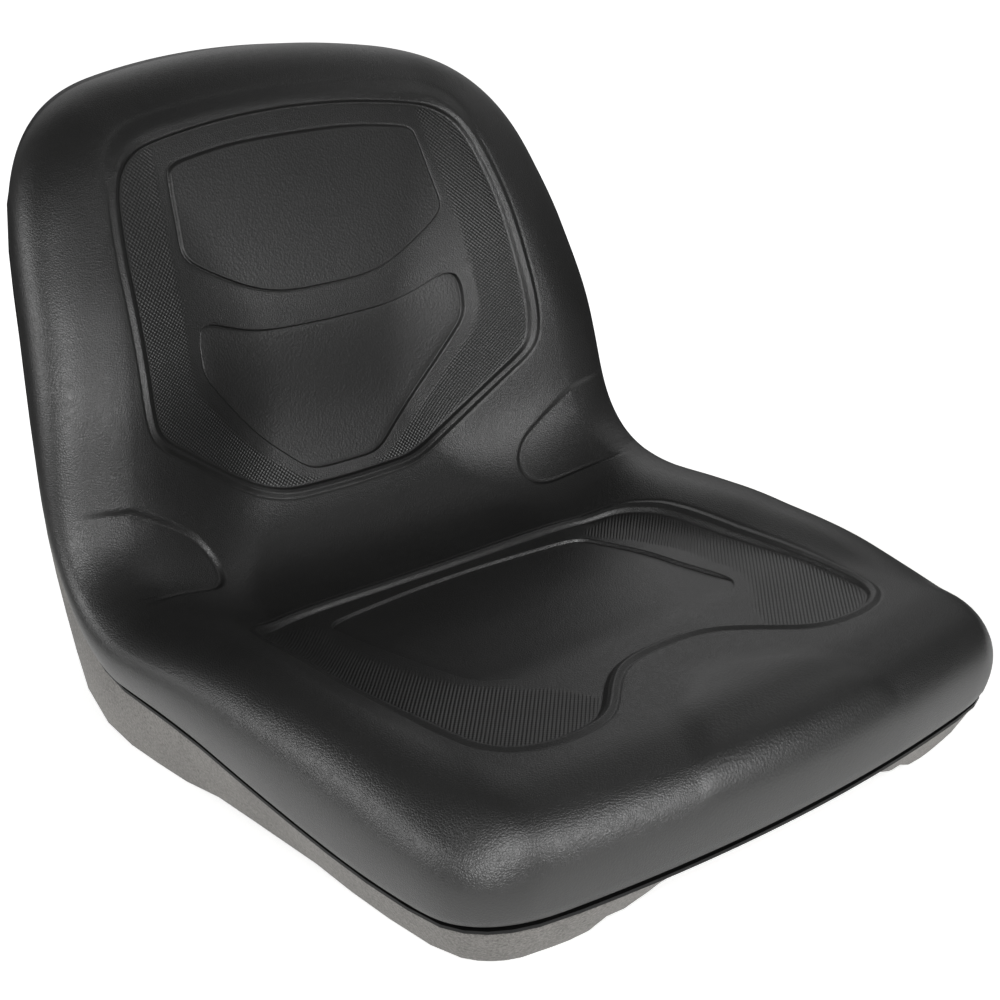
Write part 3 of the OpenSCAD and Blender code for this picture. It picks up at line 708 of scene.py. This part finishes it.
def paint_material():
    material, kit, shader = new_material("black_paint")
    place = kit.node("ShaderNodeTexCoord", out="Object")
    peel = noise(kit, place, 350.0, 3.0)
    bump(kit, peel * 0.0001, 0.3).feed(shader["Normal"])
    share = ranged(kit, noise(kit, place, 20.0, 4.0), 0.3, 0.7)
    tint(kit, share, (0.004, 0.004, 0.004), (0.008, 0.008, 0.008)).feed(shader["Base Color"])
    ranged(kit, peel, 0.3, 0.7, 0.42, 0.52).feed(shader["Roughness"])
    shader["Specular IOR Level"].default_value = 0.3
    return material


def metal_material(name, dark, light, rough):
    material, kit, shader = new_material(name)
    place = kit.node("ShaderNodeTexCoord", out="Object")
    turned = noise(kit, place, 700.0, 4.0, 0.6)
    tint(kit, ranged(kit, noise(kit, place, 120.0, 4.0, 0.6), 0.3, 0.7), dark, light).feed(shader["Base Color"])
    ranged(kit, turned, 0.3, 0.7, rough - 0.06, rough + 0.08).feed(shader["Roughness"])
    bump(kit, turned * 0.00006, 0.3).feed(shader["Normal"])
    shader["Metallic"].default_value = 1.0
    return material


def dress(obj, material):
    obj.data.materials.clear()
    obj.data.materials.append(material)


def smooth_copy(name, angle):
    """A copy of a node with its doubles merged, so that its curved walls can be shaded smooth."""
    copy = nodes[name].copy()
    copy.data = nodes[name].data.copy()
    copy.name = f"{name}_smooth"
    bpy.context.scene.collection.objects.link(copy)
    bpy.ops.object.select_all(action="DESELECT")
    bpy.context.view_layer.objects.active = copy
    copy.select_set(True)
    bpy.ops.object.mode_set(mode="EDIT")
    bpy.ops.mesh.select_all(action="SELECT")
    bpy.ops.mesh.remove_doubles(threshold=0.00002)
    bpy.ops.object.mode_set(mode="OBJECT")
    bpy.ops.object.shade_smooth_by_angle(angle=math.radians(angle))
    return copy


# Camera, floor and light.
scene = bpy.context.scene
eye = bpy.data.cameras.new("eye")
eye.sensor_width = 36.0
eye.lens = 69.9
camera = bpy.data.objects.new("eye", eye)
camera.location = (-0.8108, -0.8990, 0.6473)
camera.rotation_euler = (math.radians(90 - 21.64), 0, math.radians(-41.03))
scene.collection.objects.link(camera)
scene.camera = camera
scene.view_settings.view_transform = "Standard"


def bare_tree(owner, output):
    """Clears the tree of a material or a world, and gives its wire and its surface socket."""
    owner.use_nodes = True
    owner.node_tree.nodes.clear()
    return Wire(owner.node_tree), owner.node_tree.nodes.new(output).inputs["Surface"]


def floor_material():
    """Pale floor, white for the camera except for the seat's shadow, and dim where the seat mirrors it from afar."""
    material = bpy.data.materials.new("floor_white")
    kit, surface = bare_tree(material, "ShaderNodeOutputMaterial")
    seen = kit.node("ShaderNodeLightPath", out="Is Camera Ray")
    mirrored = seen.output("Is Glossy Ray")
    place = kit.node("ShaderNodeTexCoord", out="Object")
    away = kit.node("ShaderNodeVectorMath", {"operation": "LENGTH"}, {0: place}, out="Value")
    pale = kit.node("ShaderNodeBsdfDiffuse", {}, {"Color": (0.8, 0.8, 0.79, 1)})
    dim = kit.node("ShaderNodeBsdfDiffuse", {}, {"Color": (0.12, 0.12, 0.12, 1)})
    far = mirrored * ranged(kit, away, 0.42, 0.8)
    ground = kit.node("ShaderNodeMixShader", {}, {0: far, 1: pale, 2: dim})
    glow = seen * ranged(kit, away, 0.3, 0.7, 0.62, 1.0) + mirrored * ranged(kit, away, 0.42, 0.8, 0.5, 0.0)
    light = kit.node("ShaderNodeEmission", {}, {"Color": (1, 1, 1, 1), "Strength": glow})
    kit.node("ShaderNodeAddShader", {}, {0: ground, 1: light}).feed(surface)
    return material


bpy.ops.object.select_all(action="DESELECT")
bpy.ops.mesh.primitive_plane_add(size=16, location=(0, 0, -0.0005))
floor = bpy.context.object
floor.name = "floor"
dress(floor, floor_material())

studio = bpy.data.worlds.new("studio")
scene.world = studio
world_kit, world_surface = bare_tree(studio, "ShaderNodeOutputWorld")
world_seen = world_kit.node("ShaderNodeLightPath", out="Is Camera Ray")
world_kit.node("ShaderNodeBackground", {}, {"Color": (1, 1, 1, 1), "Strength": world_seen * 0.87 + 0.13}).feed(world_surface)


def softbox(name, azimuth, distance, height, size, radiance):
    """A lamp that faces the seat, at an angle from -Y towards +X, and dimmer at its edges."""
    turn = math.radians(azimuth)
    lift = math.atan2(height - 0.2, distance)
    for layer, share in enumerate((1.0, 0.72, 0.44)):
        light = bpy.data.lights.new(f"{name}_{layer}", "AREA")
        light.shape = "RECTANGLE"
        light.size, light.size_y = size[0] * share, size[1] * share
        light.energy = radiance / 3 * math.pi * light.size * light.size_y
        lamp = bpy.data.objects.new(light.name, light)
        out = distance - 0.01 * layer
        lamp.location = (out * math.sin(turn), -out * math.cos(turn), height)
        lamp.rotation_euler = (math.pi / 2 - lift, 0, turn)
        lamp.visible_camera = False
        scene.collection.objects.link(lamp)


softbox("key_left", -44, 2.0, 0.9, (1.4, 1.15), 8.5)
softbox("key_front", 8, 1.1, 0.42, (0.6, 0.5), 8.5)
softbox("high_front", 10, 2.0, 1.55, (0.7, 0.6), 4.5)
softbox("side_left", -112, 1.6, 0.6, (1.3, 0.8), 4.2)
softbox("side_right", 90, 1.6, 1.5, (1.0, 0.6), 1.2)
softbox("backdrop", 145, 2.0, 1.1, (2.6, 1.5), 0.75)

# Pieces.
cushion = build_cushion()
dress(cushion, skin_material())
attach(cushion, "root")
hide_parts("cushion")

pan = smooth_copy("pan", 40)
dress(pan, pan_material())
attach(pan, "root")
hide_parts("pan")

dress(nodes["carrier"], paint_material())
dress(nodes["threaded_inserts"], metal_material("insert_brass", (0.42, 0.29, 0.12), (0.62, 0.45, 0.2), 0.34))
dress(nodes["pan_screws"], metal_material("screw_zinc", (0.42, 0.43, 0.44), (0.58, 0.59, 0.6), 0.36))
